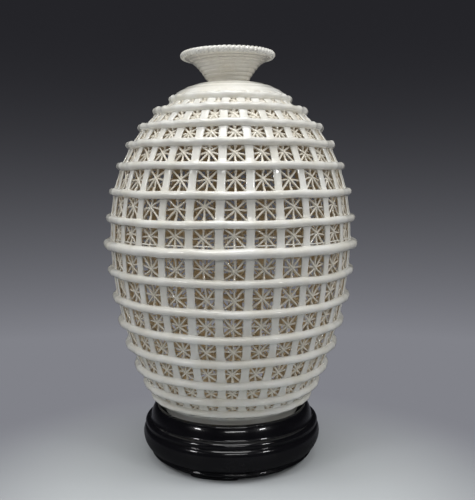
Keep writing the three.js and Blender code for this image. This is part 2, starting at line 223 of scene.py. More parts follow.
def make_piece(name, parts, nodes, body, slot, material):
    """One mesh object from a list of gathered parts, riding on a body in place of its CAD nodes."""
    shift = np.cumsum([0] + [len(part[0]) for part in parts])
    points = np.concatenate([part[0] for part in parts]) * MM
    quads = np.concatenate([part[1] + s for part, s in zip(parts, shift)])
    fans = np.concatenate([part[2] + s for part, s in zip(parts, shift)])
    corners = np.concatenate([quads.ravel(), fans.ravel()])
    starts = np.concatenate([np.arange(len(quads)) * 4, len(quads) * 4 + np.arange(len(fans)) * 3])
    mesh = bpy.data.meshes.new(name)
    mesh.vertices.add(len(points))
    mesh.vertices.foreach_set("co", points.ravel())
    mesh.loops.add(len(corners))
    mesh.loops.foreach_set("vertex_index", corners.astype(np.int32))
    mesh.polygons.add(len(starts))
    mesh.polygons.foreach_set("loop_start", starts.astype(np.int32))
    mesh.update(calc_edges=True)
    mesh.shade_smooth()
    inward = mesh.attributes.new("inward", "FLOAT", "POINT")
    inward.data.foreach_set("value", np.concatenate([part[3] for part in parts]).astype(np.float32))
    mesh.materials.append(material)
    piece = put(name, mesh)
    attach(piece, body)
    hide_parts(*nodes)


def rounded(count, power):
    """Unit section |x|^p + |y|^p = 1: x = sign cos |cos|^(2/p) across, y = sign sin |sin|^(2/p) outwards."""
    t = np.arange(count) / count * TURN
    cos, sin = np.cos(t), np.sin(t)
    return np.sign(cos) * np.abs(cos) ** (2 / power), np.sign(sin) * np.abs(sin) ** (2 / power)


section = rounded(16, 2.6)[0]
print("a section of 16 points spans", section.min().round(2), "to", section.max().round(2))

# %% [markdown]
# ## Nodes and colours
# Colours are written as sRGB hex values, as a painter would pick them, and one function makes them
# linear. One small function adds a shader node with its settings and what goes into its sockets.

# %% Colour and node helpers
def linear(hex_colour):
    """Linear RGBA of an sRGB hex colour: c / 12.92 below 0.04045, and ((c + 0.055) / 1.055) ^ 2.4 above."""
    c = np.array([int(hex_colour[i : i + 2], 16) for i in (1, 3, 5)]) / 255
    return (*np.where(c <= 0.04045, c / 12.92, ((c + 0.055) / 1.055) ** 2.4).tolist(), 1.0)


def add(tree, kind, settings=(), **sockets):
    """A node of this kind. Each socket takes a value or another node's output, and is named with _ for a
    space, or as _ and its number."""
    made = tree.nodes.new("ShaderNode" + kind)
    for name, value in dict(settings).items():
        setattr(made, name, value)
    for name, value in sockets.items():
        socket = made.inputs[int(name[1:]) if name[1:].isdigit() else name.replace("_", " ")]
        if isinstance(value, bpy.types.NodeSocket):
            tree.links.new(value, socket)
        else:
            socket.default_value = value
    return made


def maths(tree, operation, *values):
    """What a math node makes of these values or outputs."""
    sockets = {f"_{place}": value for place, value in enumerate(values)}
    return add(tree, "Math", {"operation": operation}, **sockets).outputs[0]


def blend(tree, share, first, second):
    """The colour (1 - share) first + share second."""
    return add(tree, "Mix", {"data_type": "RGBA"}, Factor=share, _6=first, _7=second).outputs[2]


def fresh_tree(owner):
    """The emptied node tree of a material or a world."""
    owner.use_nodes = True
    owner.node_tree.nodes.clear()
    return owner.node_tree


def new_material(name):
    """An empty node material with its Principled shader already joined to the output."""
    material = bpy.data.materials.new(name)
    tree = fresh_tree(material)
    shader = add(tree, "BsdfPrincipled")
    add(tree, "OutputMaterial", Surface=shader.outputs["BSDF"])
    return material, tree, shader


print("middle grey in linear light:", round(linear("#808080")[0], 3))

# %% [markdown]
# ## Porcelain under a clear glaze
# The body is white porcelain clay with a thin, clear, slightly warm glaze fired onto it. The glaze is
# glossy and gently uneven, like the skin of an orange seen from close by, because it ran and pooled on
# hand-rolled clay. Its waves are about 4 mm long, with faint ones of 1 mm on them. Where a surface faces
# inwards, into the vase or to the back of a piece, its colour turns buff-tan: painted shade, which stands in
# for the dim, warm light in there. Its glaze is made duller there too. A value stored on each point says how
# far it faces inwards.

# %% Porcelain materials
def porcelain(name, outer, inner_shade, speck):
    """Glazed porcelain: colour from outer to the inner colour by the inward value, which paints shade on
    surfaces that face inwards, with a soft mottle of speck.
    """
    material, tree, shader = new_material(name)
    place = add(tree, "TexCoord").outputs["Object"]
    inward = add(tree, "Attribute", {"attribute_name": "inward"}).outputs["Fac"]
    mottle = add(tree, "TexNoise", Vector=place, Scale=60.0, Detail=3.0).outputs["Fac"]
    faint = add(tree, "MapRange", Value=mottle, From_Min=0.35, From_Max=0.7).outputs["Result"]
    skin = blend(tree, faint, linear(outer), linear(speck))
    # Painted shade: the more a point faces inwards, the more its colour turns to the buff-tan inner colour.
    tree.links.new(blend(tree, inward, skin, linear(inner_shade)), shader.inputs["Base Color"])
    dull = add(tree, "MapRange", Value=inward, To_Min=0.14, To_Max=0.6).outputs["Result"]
    tree.links.new(maths(tree, "MULTIPLY_ADD", mottle, 0.12, dull), shader.inputs["Roughness"])
    waves = add(tree, "TexNoise", Vector=place, Scale=260.0, Detail=2.0).outputs["Fac"]
    peel = add(tree, "TexNoise", Vector=place, Scale=1100.0, Detail=2.0).outputs["Fac"]
    skin_height = maths(tree, "MULTIPLY_ADD", peel, 0.12, waves)
    bump = add(tree, "Bump", Strength=0.5, Distance=0.0005, Height=skin_height)
    tree.links.new(bump.outputs["Normal"], shader.inputs["Normal"])
    shader.inputs["IOR"].default_value = 1.5
    shader.inputs["Coat Weight"].default_value = 0.5
    shader.inputs["Coat Roughness"].default_value = 0.05
    return material


# The second colour of each is the painted shade of inward-facing surfaces; the third is a random mottle.
glazed = porcelain("porcelain_clear_glazed", "#E9E8E2", "#D9C29A", "#DFDCD1")
glazed_threads = porcelain("porcelain_threads_painted_shade_behind", "#E6E1D4", "#DDCBA8", "#DCD5C5")
# Body, slot and material, in the order that make_piece takes them.
GLAZE = ("vase", "white_glaze", glazed)
THREAD_GLAZE = ("vase", "white_glaze_threads", glazed_threads)
print("made", glazed.name, "and", glazed_threads.name)

# %% [markdown]
# ## Hoops
# Each hoop is a roll of clay, pressed flat where it lies on the straps. It could be a circle with a round
# bevel, but a pressed roll has a nearly square section, and it is broader and higher over every strap than
# between two. So its section is a rounded box, and its breadth and crest change with the distance to the
# nearest strap. The thick hoop at the belly seems to cover a seam between two halves of the vase, and a
# thin ledge shows above it.

# %% Hoop shape
HOOP_DEPTH, HOOP_THICKNESS, HOOP_BACK, BELLY_HOOP_EXTRA = 3.4, 3.9, 0.6, 1.6
HOOP_STEPS, HOOP_CORNERS, HOOP_SWAY = STRAPS * 14, 16, 0.3
LEDGE_DEPTH, LEDGE_RISE = 5.0, 4.7


def hoop_breadth(number):
    """Breadth of a hoop: 5 mm at the top, 6.5 low down and 5.3 at the foot, and more for the thick one."""
    breadth = np.interp(number, [1, 2, 4, 8, 14, 15], [5.0, 5.8, 6.0, 6.2, 6.5, 5.3])
    return breadth + (BELLY_HOOP_EXTRA if number == 8 else 0.0)


def hoop(number):
    """Rounded box swept round the wall: rise = x b / 2, and depth = 3.4 - y t in front and 3.4 - 0.6 y
    behind, with the breadth b and the thickness t greatest over each strap."""
    extra = BELLY_HOOP_EXTRA if number == 8 else 0.0
    height = tier_height(number)
    turns = np.arange(HOOP_STEPS) / HOOP_STEPS
    to_strap = strap_pitch(height) * (((turns * STRAPS + 0.5) % 1) - 0.5)
    on_strap = np.exp(-((to_strap / 3.2) ** 2))
    knob = np.interp(number, [1, 4, 7, 15], [0.9, 0.75, 0.35, 0.3]) * (1 + 0.5 * wobble(turns, 60 + number, 14))
    breadth = hoop_breadth(number) * (0.93 + 0.16 * knob * on_strap + 0.05 * wobble(turns, number))
    thick = HOOP_THICKNESS + extra + 0.8 * knob * on_strap + 0.18 * wobble(turns, 40 + number, 5)
    lean = HOOP_SWAY * wobble(turns, 80 + number, 4)
    x, y = rounded(HOOP_CORNERS, 2.4)
    rise = x * breadth[:, None] / 2 + lean[:, None]
    depth = HOOP_DEPTH - np.where(y > 0, y * thick[:, None], y * HOOP_BACK)
    grid = on_wall(height, (FIRST_STRAP + turns * TURN)[:, None], depth, rise)
    # Painted shade: the back half of the roll, facing into the vase, gets the inward value and turns buff-tan.
    return gather(grid[None], True, np.clip(-y, 0, 1)[None, None, :])


def belly_ledge():
    """Thin round roll: depth = 5.0 - 0.8 y and rise = 4.7 + 0.55 x, round the whole wall."""
    turns = np.arange(HOOP_STEPS) / HOOP_STEPS
    x, y = rounded(8, 2.0)
    rise = LEDGE_RISE + 0.55 * x + 0.15 * wobble(turns, 7)[:, None]
    grid = on_wall(BELLY_HOOP_HEIGHT, (FIRST_STRAP + turns * TURN)[:, None], LEDGE_DEPTH - 0.8 * y, rise)
    # Painted shade: the back of the ledge turns buff-tan in the same way.
    return gather(grid[None], True, np.clip(-y, 0, 1)[None, None, :])


for number in range(1, 16):
    name = f"hoop_{number:02d}"
    parts = [hoop(number), belly_ledge()] if number == 8 else [hoop(number)]
    make_piece(name + "_roll", parts, [name], *GLAZE)
print("15 hoops, the widest", hoop_breadth(8), "mm broad")

# %% [markdown]
# ## Straps
# The straps are flat strips with soft edges. The hoops were pressed onto them while wet and glaze pooled
# in the corners, so a strap spreads and rises where it runs under a hoop. That little fillet matters: it
# catches the light from above as a bright spot over every hoop.

# %% Strap shape
STRAP_BREADTH, STRAP_FACE, STRAP_MIDDLE, STRAP_BACK = 6.2, 3.3, 4.1, 4.9
STRAP_STEPS_PER_TIER, STRAP_CORNERS, STRAP_SWAY = 14, 14, 0.3
STRAP_HEAD, STRAP_TAIL = 288.2, 44.6


def near_hoop(tier, reach):
    """1 under a hoop, and exp(-(d / reach)^2) at a distance d from its edge along the wall."""
    height = tier_height(tier)
    numbers = np.arange(1, 16)
    up, _ = wall_directions(tier_height(numbers))
    away = np.abs(height[..., None] - tier_height(numbers)) / up[1]
    beyond = np.clip(away - np.array([hoop_breadth(n) for n in numbers]) / 2, 0, None)
    return np.exp(-((beyond / reach) ** 2)).max(-1)


def strap(number):
    """Rounded box swept down the wall: side = x b / 2 and depth = 4.1 - 0.8 y. Near a hoop it is broader, and
    its face rises by up to 0.45 mm."""
    tier = np.linspace(-0.12, 16.1, 16 * STRAP_STEPS_PER_TIER + 1)
    height = np.interp(tier, [-0.12, 0, 16, 16.1], [STRAP_HEAD, tier_stops[0], tier_stops[-1], STRAP_TAIL])
    height = np.where((tier > 0) & (tier < 16), tier_height(tier), height)
    flare = near_hoop(tier, 1.4)
    pooled = np.interp(tier, [0, 3, 9, 11, 16], [0.25, 0.16, 0.14, 0.28, 0.4])
    breadth = STRAP_BREADTH * (0.97 + pooled * flare + 0.04 * wobble(tier / 16, 200 + number, 2))
    raised = 0.45 * flare + 0.12 * wobble(tier / 16, 240 + number, 3)
    sway = STRAP_SWAY * wobble(tier / 16, 280 + number, 1, 5)
    x, y = rounded(STRAP_CORNERS, 2.8)
    front = STRAP_MIDDLE - y * (STRAP_MIDDLE - STRAP_FACE + raised[:, None])
    depth = np.where(y > 0, front, STRAP_MIDDLE - y * (STRAP_BACK - STRAP_MIDDLE))
    side = x * breadth[:, None] / 2 + sway[:, None]
    grid = on_wall(height[:, None], FIRST_STRAP + (number - 1) * PITCH, depth, 0.0, side)
    # Painted shade: the back of the strap, facing into the vase, turns buff-tan by the inward value.
    return gather(grid[None], False, np.clip(-1.6 * y, 0, 1)[None, None, :])


for number in range(1, STRAPS + 1):
    name = f"strap_{number:02d}"
    make_piece(name + "_strip", [strap(number)], [name], *GLAZE)
print(STRAPS, "straps")

# %% [markdown]
# ## Star threads
# Four threads cross in every window: an upright one and a level one at the back, and two slanting ones
# over them. The photograph can't tell whether they end at the straps. They are made as long rolls that run
# on behind, which would hold best, and each is swept in one piece along the wall. In the middle of each
# window they are pressed together, and glaze fills the crossing. The middles lie a little above the
# windows' middles in the upper half, and a little below them in the lower half, and each one strays on
# its own. All four threads share the same place, so the places are drawn once, for all windows.

# %% Middles of the stars
FIRST_TIER, LAST_TIER = 1, 15
STAR_ABOVE, STAR_BELOW = 1.4, -1.2
dice = np.random.default_rng(29)
star_side = np.clip(dice.normal(0, 0.55, (17, STRAPS)), -1.1, 1.1)
star_rise = np.where(np.arange(17) < 8, STAR_ABOVE, STAR_BELOW)[:, None]
star_rise = star_rise + np.clip(dice.normal(0, 0.5, (17, STRAPS)), -1, 1)
STEPS_PER_TIER = 12
THREAD_RADIUS = 0.74
RIGHT_DEPTH, KNOB_DEPTH, LEFT_DEPTH, CROSS_DEPTH = 4.75, 4.85, 5.1, 5.45


def glaze_filled(tier):
    """How much thicker glaze makes the threads: up to 1.6 times at the shoulder and 1.45 times at the foot."""
    return np.interp(tier, [1.5, 2.5, 3.5, 5.5, 11.5, 13.5, 15.5], [1.6, 1.55, 1.2, 1.0, 1.0, 1.15, 1.45])


def pooled_in_corners(from_middle):
    """Glaze pools where threads run under the straps and hoops: 1 + 0.45 s^2 (3 - 2 s), with s = 0 up to 0.26
    of a tier from the window's middle, and s = 1 from 0.42."""
    s = np.clip((np.abs(from_middle) - 0.26) / 0.16, 0, 1)
    return 1 + 0.45 * s * s * (3 - 2 * s)


def unit(v):
    """Vectors over their lengths: v / |v|."""
    return v / np.linalg.norm(v, axis=-1, keepdims=True)


def square_to(along, v):
    """Unit vectors of v less its part along: v - along (v . along)."""
    return unit(v - along * (v * along).sum(-1, keepdims=True))


def thread_tube(path, radius, corners=8):
    """Tube round a path of shape (n, rows, 3): path + r (cos t out + sin t side), with out taken from the
    axis of the vase and side = along x out, both made square to the path."""
    along = unit(np.gradient(path, axis=1))
    out = square_to(along, path * [1, 1, 0] + [0, 0, 1] * (path[..., 2:] - BELLY_HEIGHT) * 0.6)
    side = np.cross(along, out)
    t = np.arange(corners) / corners * TURN
    radius = np.broadcast_to(radius, path.shape[:2])[..., None, None]
    grid = path[:, :, None] + radius * (
        np.cos(t)[:, None] * out[:, :, None] + np.sin(t)[:, None] * side[:, :, None]
    )
    # Painted shade: the back half of each thread, facing into the vase, turns buff-tan by the inward value.
    return grid, np.clip(-1.3 * np.cos(t), 0, 1)[None, None, :]


print("stars:", (LAST_TIER - FIRST_TIER) * STRAPS)

# %% [markdown]
# ## Slanting threads
# One family leans to the right and one to the left, and a thread moves on by one window in each tier.
# They could be short pieces, one for each window, but a single sweep has only two ends to close.

# %% Slanting threads
def slanting(direction, depth):
    """Thread k lies at the angle pitch (k + direction (tier - 1)); towards the middle of each window it is
    drawn to that star's place by cos^2 of its share of the tier, and it is thicker there."""
    tier = np.linspace(FIRST_TIER, LAST_TIER, (LAST_TIER - FIRST_TIER) * STEPS_PER_TIER + 1)
    thread = np.arange(STRAPS)[:, None]
    row = np.clip(np.floor(tier), FIRST_TIER, LAST_TIER - 1).astype(int)
    from_middle = tier - row - 0.5
    column = (thread + direction * (row - 1) - (direction < 0)) % STRAPS
    pull = np.cos(np.pi * from_middle) ** 2
    height = tier_height(tier)
    bow = 0.3 * np.stack([wobble(tier / 15, 300 + 40 * direction + k, 12) for k in range(STRAPS)])
    side = pull * star_side[row, column] + bow
    rise = pull * star_rise[row, column]
    near = strap_pitch(height) * 1.4 * np.abs(from_middle)
    radius = THREAD_RADIUS * glaze_filled(tier) * pooled_in_corners(from_middle)
    radius = radius * (1 + 0.3 * np.exp(-((near / 1.5) ** 2)))
    angle = FIRST_STRAP + PITCH * (thread + direction * (tier - 1))
    path = on_wall(height, angle, depth + 0.5 * (1 - pull), rise, side)
    grid, inward = thread_tube(path, radius)
    return gather(grid, False, inward)


def star_knobs():
    """Flattened balls at the middles: side = a cos u cos v, rise = a cos u sin v, depth = 4.85 - 0.9 sin u."""
    tier, column = np.meshgrid(np.arange(FIRST_TIER, LAST_TIER), np.arange(STRAPS), indexing="ij")
    tier, column = tier.reshape(-1, 1, 1), column.reshape(-1, 1, 1)
    u = np.radians([-60, -20, 20, 60])[:, None]
    v = np.arange(8) / 8 * TURN
    height = tier_height(tier + 0.5)
    size = 1.4 * glaze_filled(tier + 0.5)
    side = size * np.cos(u) * np.cos(v) + star_side[tier, column]
    rise = size * np.cos(u) * np.sin(v) + star_rise[tier, column]
    grid = on_wall(height, FIRST_STRAP + PITCH * (column + 0.5), KNOB_DEPTH - 0.9 * np.sin(u), rise, side)
    # Painted shade: the deeper side of each knob turns buff-tan.
    return gather(grid, False, np.clip(-np.sin(u), 0, 1)[None])


right_parts = [slanting(1, RIGHT_DEPTH), star_knobs()]
make_piece("star_rolls_right", right_parts, ["star_threads_right"], *THREAD_GLAZE)
make_piece("star_rolls_left", [slanting(-1, LEFT_DEPTH)], ["star_threads_left"], *THREAD_GLAZE)
print("slanting threads:", 2 * STRAPS)

# %% [markdown]
# ## Upright and level threads
# Behind them lies a net: one upright thread in each column of windows and one ring in each row. Only the
# upright ones run on to the shoulder's edge and down to the band.

# %% Upright and level threads
def upright():
    """One thread in the middle of each column of windows, thicker at the stars and where it meets a hoop."""
    tier = np.linspace(FIRST_TIER - 1, LAST_TIER + 1, 16 * STEPS_PER_TIER + 1)
    column = np.arange(STRAPS)[:, None]
    row = np.clip(np.floor(tier), 0, 15).astype(int)
    from_middle = tier - row - 0.5
    pull = np.cos(np.pi * from_middle) ** 2
    height = tier_height(tier)
    at_hoop = near_hoop(tier, 1.0)
    radius = THREAD_RADIUS * glaze_filled(tier) * (1 + 0.45 * at_hoop)
    rise, side = pull * star_rise[row, column], pull * star_side[row, column]
    path = on_wall(height, FIRST_STRAP + PITCH * (column + 0.5), CROSS_DEPTH - 0.9 * at_hoop, rise, side)
    grid, inward = thread_tube(path, radius)
    return gather(grid, False, inward)


def level():
    """One ring through the stars of each row, drawn to each star's place by cos^2 of the angle from it."""
    rows = np.arange(FIRST_TIER, LAST_TIER)[:, None]
    steps = STRAPS * 12
    turns = np.arange(steps) / steps
    column = np.floor(turns * STRAPS).astype(int)
    pull = np.cos(np.pi * (turns * STRAPS - column - 0.5)) ** 2
    height = tier_height(rows + 0.5)
    rise = pull * star_rise[rows, column] + 0.2 * wobble(turns, 9, 9)
    radius = 0.95 * THREAD_RADIUS * glaze_filled(rows + 0.5) * np.ones((1, steps))
    path = on_wall(height, FIRST_STRAP + turns * TURN, CROSS_DEPTH, rise)
    closed = np.concatenate([path[:, -1:], path, path[:, :1]], 1)
    grid, inward = thread_tube(closed, np.concatenate([radius[:, -1:], radius, radius[:, :1]], 1))
    return gather(grid[:, 1:-1], True, inward)


make_piece("star_rolls_cross", [upright(), level()], ["star_threads_cross"], *THREAD_GLAZE)
print("upright threads:", STRAPS, "level threads:", LAST_TIER - FIRST_TIER)

# %% [markdown]
# ## Turned shapes
# The shoulder, the neck's inside, the foot and the stand are bodies of revolution. A profile of (radius,
# height) points is carried round the axis. The corners of the foot and the stand are softened first: each
# is replaced by a short arc between its two sides, which is what a sponge or sandpaper does.

# %% Turned surface helper
def softened(corners, radius, steps=5):
    """Profile with each inner corner p replaced by the curve (1-t)^2 a + 2t(1-t) p + t^2 b, where a and b lie
    on the two sides at radius from p, or at 0.45 of the side if it is short."""
    corners = np.asarray(corners, float)
    radius = np.broadcast_to(radius, len(corners))
    before, here, after = corners[:-2], corners[1:-1], corners[2:]
    back, on = before - here, after - here
    back_length, on_length = np.linalg.norm(back, axis=1), np.linalg.norm(on, axis=1)
    a = here + back / back_length[:, None] * np.minimum(radius[1:-1], 0.45 * back_length)[:, None]
    b = here + on / on_length[:, None] * np.minimum(radius[1:-1], 0.45 * on_length)[:, None]
    t = np.linspace(0, 1, steps)[None, :, None]
    arcs = (1 - t) ** 2 * a[:, None] + 2 * t * (1 - t) * here[:, None] + t**2 * b[:, None]
    return np.concatenate([corners[:1], arcs.reshape(-1, 2), corners[-1:]])


def bezier(points, count):
    """Cubic Bezier curve with four (r, z) control points: it starts at the first and ends at the last."""
    t = np.linspace(0, 1, count)[:, None]
    p = np.asarray(points, float)
    return (1 - t) ** 3 * p[0] + 3 * t * (1 - t) ** 2 * p[1] + 3 * t**2 * (1 - t) * p[2] + t**3 * p[3]


def turned(profile, looped, inward=0.0, sides=256, swell=0.0):
    """Profile carried round the axis: (r cos a, r sin a, z), with r swollen by a slow wobble of the hand."""
    angle = np.arange(sides) / sides * TURN
    radius = profile[:, 0][:, None] + swell * wobble(angle / TURN, 3, 2)[None] * (profile[:, 0][:, None] > 5)
    grid = np.stack([radius * np.cos(angle), radius * np.sin(angle), np.repeat(profile[:, 1:], sides, 1)], -1)
    inward = np.asarray(inward, float).reshape(1, -1, 1)
    return gather(grid[None], looped, np.broadcast_to(inward, (1, *radius.shape)))


print("a softened corner has", len(softened([(0, 0), (1, 0), (1, 1)], 0.2)) - 2, "points")

# %% [markdown]
# ## Shoulder
# The shoulder is a smooth dome. It reads as a few coils that were wiped over with a wet finger: their
# ridges still show faintly. Its skirt runs down over the heads of the straps and ends behind the first hoop,
# and a row of small dimples marks the places between the straps. The dome was set on by eye: with the neck
# on it, it leans by two thirds of a degree and sits a little off the middle.

# %% Shoulder dome
SHOULDER_TOP = 298.7
NECK_FOOT_RADIUS, BORE_RADIUS = 15.5, 10.9
SKIRT_END, SKIRT_UNDER, SKIRT_INNER, DIMPLE_HEIGHT = 285.4, 285.0, 285.6, 287.0
LEAN_OF_TOP, DOME_RIGHT = 0.0115, -0.8


def line_points(heights, depths):
    """(r, z) points of the wall at heights and depths: the egg line's points moved inwards along its normal."""
    heights = np.asarray(heights, float)
    _, out = wall_directions(heights)
    return np.stack([crest_radius(heights) - depths * out[0], heights - depths * out[1]], -1)


def leaning(part, right, up):
    """A gathered part turned by a small angle in the x-z plane about z = 287, then moved right and up."""
    points = part[0].copy()
    points[:, 0] += right - LEAN_OF_TOP * (part[0][:, 2] - SHOULDER_EDGE_HEIGHT)
    points[:, 2] += up + LEAN_OF_TOP * part[0][:, 0]
    return (points, *part[1:])


def dome_shape():
    """Profile of dome, skirt and underside, and for each of its points how deep a dimple may sink there:
    2 exp(-((z - 287) / 0.7)^2) mm."""
    edge = line_points([SHOULDER_EDGE_HEIGHT], 0)[0]
    dome = bezier(
        [(NECK_FOOT_RADIUS - 1, SHOULDER_TOP), (25, SHOULDER_TOP - 1.1), (37, SHOULDER_TOP - 3.6), edge], 60
    )
    dome[:, 1] += 0.16 * np.cos(np.linspace(0, 5 * TURN, 60)) * np.sin(np.linspace(0, np.pi, 60)) ** 0.5
    low = np.linspace(SHOULDER_EDGE_HEIGHT, SKIRT_END, 16)[1:]
    skirt = line_points(low, np.linspace(0.5, 1.5, 15))
    under, inner_foot = line_points([SKIRT_UNDER], 3.4), line_points([SKIRT_INNER], 5.0)[0]
    inside = bezier([inner_foot, (38, 289.5), (24, 294.3), (BORE_RADIUS, SHOULDER_TOP - 4)], 20)
    profile = np.concatenate([dome, skirt, under, inside, [[BORE_RADIUS, SHOULDER_TOP]]])
    depth = np.zeros(len(profile))
    depth[50:75] = 2.0 * np.exp(-(((profile[50:75, 1] - DIMPLE_HEIGHT) / 0.7) ** 2))
    # Painted shade: the underside and inside of the dome turn buff-tan, and the edge of the bore partly.
    inward = np.concatenate([np.zeros(76), np.ones(20), [0.6]])
    return profile, depth, inward


def shoulder():
    """The profile carried round the axis, with a dimple of its own depth between every two straps."""
    profile, depth, inward = dome_shape()
    angle = FIRST_STRAP + np.arange(STRAPS * 12) / (STRAPS * 12) * TURN
    across = ((angle - FIRST_STRAP) / PITCH) % 1 - 0.5
    sizes = np.random.default_rng(8).uniform(0.35, 1, STRAPS)[np.arange(STRAPS * 12) // 12]
    sink = depth[:, None] * sizes * np.exp(-((across / 0.2) ** 4))
    radius = profile[:, :1] + 0.15 * wobble(angle / TURN, 3, 2) - 0.62 * sink
    z = profile[:, 1:] - 0.78 * sink
    grid = np.stack([radius * np.cos(angle), radius * np.sin(angle), z], -1)
    # Painted shade in the dimples: the deeper a dimple sinks, the more buff-tan it turns.
    painted_shade = np.maximum(inward[:, None], 0.5 * sink / 2)
    return gather(grid[None], True, painted_shade[None])


make_piece("shoulder_dome", [leaning(shoulder(), DOME_RIGHT, 0)], ["shoulder"], *GLAZE)
print("shoulder profile of", len(dome_shape()[0]), "points")

# %% [markdown]
# ## Neck
# The neck is a trumpet of one roll of clay, wound six and a half times from the shoulder to the mouth over
# a smoothed inner wall. A stack of rings would look the same from far away, but only a winding climbs.
# Glaze has filled the grooves between the turns, so the wall behind them stands only half a millimetre back.

# %% Neck line
MOUTH_FLARE, NECK_RISE = 17.6, 18.2
neck_line = bezier(
    [
        (NECK_FOOT_RADIUS, SHOULDER_TOP + 0.3),
        (NECK_FOOT_RADIUS + 4.0, SHOULDER_TOP + 6.3),
        (NECK_FOOT_RADIUS + 8.8, SHOULDER_TOP + 15.6),
        (NECK_FOOT_RADIUS + MOUTH_FLARE, SHOULDER_TOP + 0.3 + NECK_RISE),
    ],
    200,
)
neck_walked = np.concatenate([[0], np.cumsum(np.linalg.norm(np.diff(neck_line, axis=0), axis=1))])


def neck_point(share, depth):
    """(r, z) at a share of the line's length, moved by depth to its inner side, and the unit vectors along
    the line and inwards."""
    walked = np.asarray(share) * neck_walked[-1]
    here = np.stack([np.interp(walked, neck_walked, neck_line[:, k]) for k in (0, 1)], -1)
    slope = np.gradient(neck_line, axis=0)
    along = unit(np.stack([np.interp(walked, neck_walked, slope[:, k]) for k in (0, 1)], -1))
    inwards = np.stack([-along[..., 1], along[..., 0]], -1)
    return here + inwards * np.asarray(depth)[..., None], along, inwards


print("neck line:", round(float(neck_walked[-1]), 1), "mm long")

# %% [markdown]
# ## Winding and wall of the neck
# A screw modifier could wind the roll, but its climb has to follow the curved line and its two ends have to
# sink into the wall. So it is swept like the other rolls, and the wall behind it is turned.

# %% Neck winding and wall
COIL_TURNS, COIL_STEPS, COIL_CORNERS = 6.5, 120, 16
COIL_START, COIL_END, COIL_START_ANGLE = 0.06, 0.93, np.radians(-134)
COIL_HALF_BREADTH, COIL_HALF_THICKNESS = 1.72, 1.35
GROOVE_DEPTH, INSIDE_DEPTH, WALL_FOOT = 0.55, 4.8, 297.9


def winding():
    """Roll wound up the neck: its section is |u / a|^2.3 + |v / 1.35|^2.3 = 1, with u along the line and v
    square to it, and a = 1.72 mm is a little more than half of the pitch."""
    turns = np.arange(int(COIL_TURNS * COIL_STEPS) + 1) / COIL_STEPS
    share = COIL_START + (COIL_END - COIL_START) * turns / COIL_TURNS
    middle, along, inwards = neck_point(share, np.full(share.shape, COIL_HALF_THICKNESS))
    ends = np.clip(np.minimum(turns, COIL_TURNS - turns) / 0.2, 0.05, 1) ** 0.5
    size = (1 + 0.05 * wobble(turns / COIL_TURNS, 17, 20)) * ends
    sink = 1.1 * (1 - ends)
    across, outwards = rounded(COIL_CORNERS, 2.3)
    section = middle[:, None] + COIL_HALF_BREADTH * (size[:, None] * across)[..., None] * along[:, None]
    lift = sink[:, None] - COIL_HALF_THICKNESS * size[:, None] * outwards
    section = section + lift[..., None] * inwards[:, None]
    angle = (COIL_START_ANGLE + turns * TURN)[:, None]
    grid = np.stack([section[..., 0] * np.cos(angle), section[..., 0] * np.sin(angle), section[..., 1]], -1)
    # Painted shade: the whole roll is tinted a little buff-tan, for the warm shade under the rope, and its side
    # against the wall more.
    return gather(grid[None], False, (0.14 + 0.3 * np.clip(-outwards, 0, 1))[None, None, :])


shares = np.linspace(0.04, 1, 30)
outer_wall = neck_point(shares, np.full(30, GROOVE_DEPTH))[0]
inner_wall = neck_point(shares, np.full(30, INSIDE_DEPTH) + 0.08 * np.sin(np.linspace(0, 7 * TURN, 30)))[0]
fillet = np.array([[BORE_RADIUS + 1.8, WALL_FOOT], [16.4, WALL_FOOT], [15.8, 298.6]])
lip = np.array([[34.2, 318.3], [34.6, 320.2], [33.2, 321.6]])
wall_profile = np.concatenate([fillet, outer_wall, lip, inner_wall[::-1], [[BORE_RADIUS, WALL_FOOT]]])
NECK_RIGHT, NECK_UP = -1.6, -0.9
roll_part = leaning(winding(), NECK_RIGHT, NECK_UP)
make_piece("neck_roll", [roll_part], ["neck_winding"], *GLAZE)
# Painted shade: the whole wall of the neck is tinted a little buff-tan, like the roll.
inner_part = leaning(turned(wall_profile, True, 0.14, 192), NECK_RIGHT, NECK_UP)
make_piece("neck_inside", [inner_part], ["neck_wall"], *GLAZE)
print("winding of", COIL_TURNS, "turns")

# %% [markdown]
# ## Rope round the mouth
# Two rolls were twisted together and laid round the mouth. Each strand circles the middle of the rope
# while it runs round the vase. A strand that goes round the middle a whole number of times meets its own
# start, so it is one closed ring.

# %% Rope rim
RIM_RADIUS, RIM_HEIGHT = 34.6, 320.0
ROPE_TWISTS, STRAND_RADIUS, STRAND_OFFSET = 30, 1.75, 0.85


def strand(phase):
    """Middle at (R + a cos(n angle + phase), z + a sin(n angle + phase)); the section follows the strand."""
    steps = ROPE_TWISTS * 18
    angle = np.arange(steps) / steps * TURN
    twist = ROPE_TWISTS * angle + phase
    a = STRAND_OFFSET + 0.06 * wobble(angle / TURN, 33, 6)
    radius, z = RIM_RADIUS + a * np.cos(twist), RIM_HEIGHT + a * np.sin(twist)
    path = np.stack([radius * np.cos(angle), radius * np.sin(angle), z], -1)
    along = unit(np.roll(path, -1, 0) - np.roll(path, 1, 0))
    turned_out = [np.cos(twist) * np.cos(angle), np.cos(twist) * np.sin(angle), np.sin(twist)]
    out = square_to(along, np.stack(turned_out, -1))
    side = np.cross(along, out)
    t = np.arange(12)[:, None] / 12 * TURN
    grid = path[:, None] + STRAND_RADIUS * (np.cos(t) * out[:, None] + np.sin(t) * side[:, None])
    return gather(grid[None], True)


strands = [leaning(strand(phase), NECK_RIGHT, NECK_UP) for phase in (0, np.pi)]
make_piece("rim_rope", strands, ["rim_roll"], *GLAZE)
print("rope of two strands,", ROPE_TWISTS, "twists")

# %% [markdown]
# ## Foot of the vase
# Below the last hoop the wall is closed: a plain band carries the straps. Inside it is the floor. Under it
# is a foot ring, which stands in the seat of the stand. The photograph hides both.

